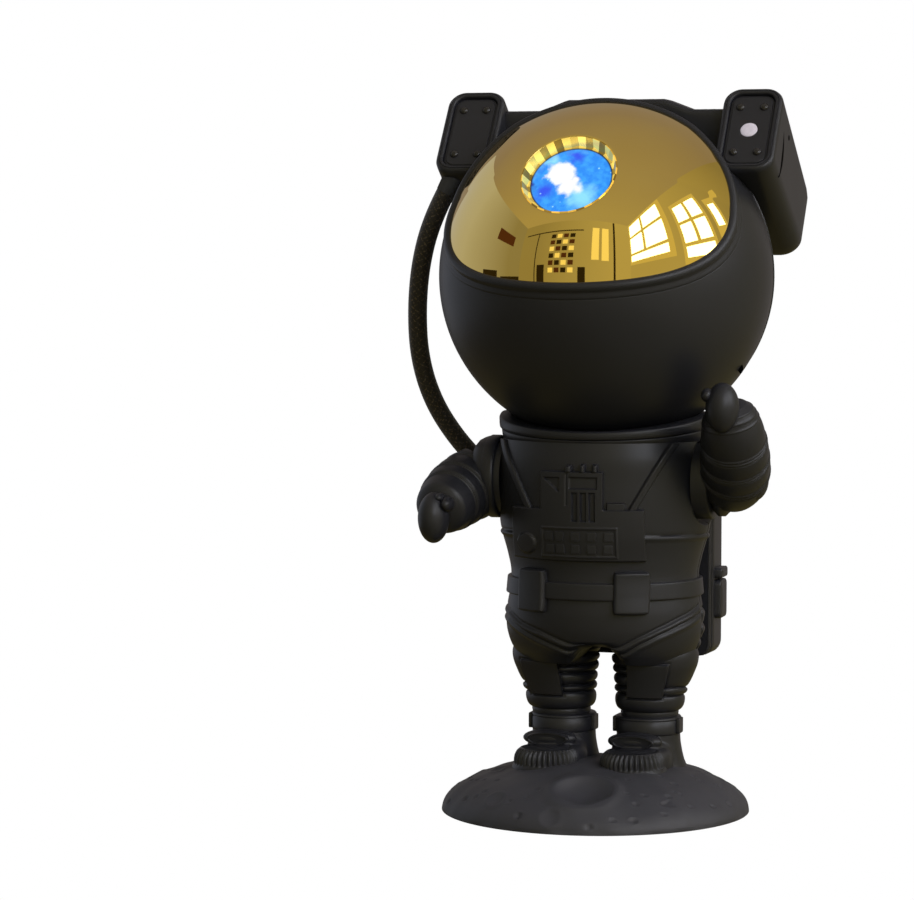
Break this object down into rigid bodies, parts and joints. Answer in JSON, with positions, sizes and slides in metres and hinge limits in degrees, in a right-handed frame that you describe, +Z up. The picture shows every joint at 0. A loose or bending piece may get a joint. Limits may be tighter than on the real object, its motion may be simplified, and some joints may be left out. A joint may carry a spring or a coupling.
{
  "type": "planetarium projector",
  "caption": "Home star and nebula projector shaped as an astronaut figure on a moon base, with a magnetic turning head that holds the lens, jointed arms and a hose to the backpack.",
  "frame": {"origin": "centre of the moon base's flat underside, on the surface it stands on", "axes": "+Z up; the figure faces -Y, so +X is the figure's left side"},
  "size_m": [0.1235, 0.1148, 0.2278],
  "materials": {
    "black_abs": "fine satin grain",
    "moon_abs": "matt, rough moulded grain",
    "zinc_steel": "zinc plated",
    "eva_pad": "foam skin",
    "black_screw": "black oxide",
    "circuit_board": "solder mask",
    "switch_plastic": "moulded",
    "gland_rubber": "moulded",
    "hose_braid": "braided sleeve",
    "nickel_magnet": "nickel plated",
    "gold_mirror": "vacuum metallised",
    "gold_bezel": "vacuum metallised",
    "lens_acrylic": "clear, lit blue",
    "inner_abs": "moulded",
    "motor_can": "drawn can",
    "sink_aluminium": "extruded",
    "window_acrylic": "frosted",
    "laser_brass": "turned",
    "ripple_acrylic": "rippled",
    "pinion_acetal": "moulded",
    "button_abs": "satin",
    "rivet_abs": "satin"
  },
  "bodies": {
    "body": {"moon_base": "moon_abs", "ballast_plate": "zinc_steel", "base_pad": "eva_pad", "base_screws": "black_screw", "leg_right": "black_abs", "leg_left": "black_abs", "boot_right": "black_abs", "boot_left": "black_abs", "ankle_bands": "black_abs", "hip_screws": "black_screw", "torso_front_shell": "black_abs", "torso_back_shell": "black_abs", "belt": "black_abs", "belt_pouches": "black_abs", "harness_straps": "black_abs", "chest_panel": "black_abs", "shoulder_disc_right": "black_abs", "shoulder_disc_left": "black_abs", "neck_dish": "black_abs", "backpack_housing": "black_abs", "backpack_cover": "black_abs", "cover_screws": "black_screw", "control_board": "circuit_board", "tact_switches": "switch_plastic", "ir_receiver": "switch_plastic", "dc_jack": "switch_plastic", "pack_gland": "gland_rubber", "air_hose": "hose_braid"},
    "neck": {"neck_magnet": "nickel_magnet"},
    "head": {"helmet_front_shell": "black_abs", "helmet_back_shell": "black_abs", "keeper_plate": "zinc_steel", "visor": "gold_mirror", "visor_rim": "black_abs", "lens_bezel": "gold_bezel", "nebula_lens": "lens_acrylic", "lens_barrel": "inner_abs", "projector_frame": "inner_abs", "disc_motor": "motor_can", "led_carrier": "inner_abs", "led_board": "circuit_board", "heat_sink": "sink_aluminium", "pod_right": "black_abs", "pod_left": "black_abs", "pod_face_right": "black_abs", "pod_face_left": "black_abs", "pod_rivets": "rivet_abs", "star_window": "window_acrylic", "laser_module": "laser_brass", "laser_holder": "inner_abs", "pod_gland": "gland_rubber", "crossbar": "black_abs"},
    "nebula_disc": {"nebula_disc": "ripple_acrylic"},
    "motor_pinion": {"motor_pinion": "pinion_acetal"},
    "right_arm": {"arm_right": "black_abs", "arm_right_screw": "black_screw"},
    "left_arm": {"arm_left": "black_abs", "arm_left_screw": "black_screw"},
    "nebula_button": {"nebula_button": "button_abs"},
    "star_button": {"star_button": "button_abs"}
  },
  "joints": [
    {"name": "head_turn", "type": "hinge", "parent": "body", "child": "neck", "pos_m": [0, 0.012, 0.1687], "axis": [0, 0, 1], "range_deg": [-40, 40], "deforming": ["air_hose"]},
    {"name": "head_nod", "type": "hinge", "parent": "neck", "child": "head", "pos_m": [0, 0.012, 0.1687], "axis": [-1, 0, 0], "range_deg": [-15, 22], "deforming": ["air_hose"]},
    {"name": "right_arm_swing", "type": "hinge", "parent": "body", "child": "right_arm", "pos_m": [-0.0365, 0.009, 0.1044], "axis": [1, 0, 0], "range_deg": [-70, 45]},
    {"name": "left_arm_swing", "type": "hinge", "parent": "body", "child": "left_arm", "pos_m": [0.0365, 0.009, 0.1044], "axis": [1, 0, 0], "range_deg": [-15, 65]},
    {"name": "disc_spin", "type": "hinge", "parent": "head", "child": "nebula_disc", "pos_m": [-0.00094, -0.01483, 0.17814], "axis": [-0.0276, -0.7897, 0.6129], "continuous": true},
    {"name": "pinion_spin", "type": "hinge", "parent": "head", "child": "motor_pinion", "pos_m": [0.02065, -0.01559, 0.17814], "axis": [-0.0276, -0.7897, 0.6129], "continuous": true},
    {"name": "nebula_press", "type": "slide", "parent": "body", "child": "nebula_button", "axis": [0, -1, 0], "range_m": [0, 0.0007], "stiffness_N_per_m": 2500},
    {"name": "star_press", "type": "slide", "parent": "body", "child": "star_button", "axis": [0, -1, 0], "range_m": [0, 0.0007], "stiffness_N_per_m": 2500}
  ],
  "couplings": [
    {"joint": "pinion_spin", "follows": "disc_spin", "ratio": -5}
  ]
}
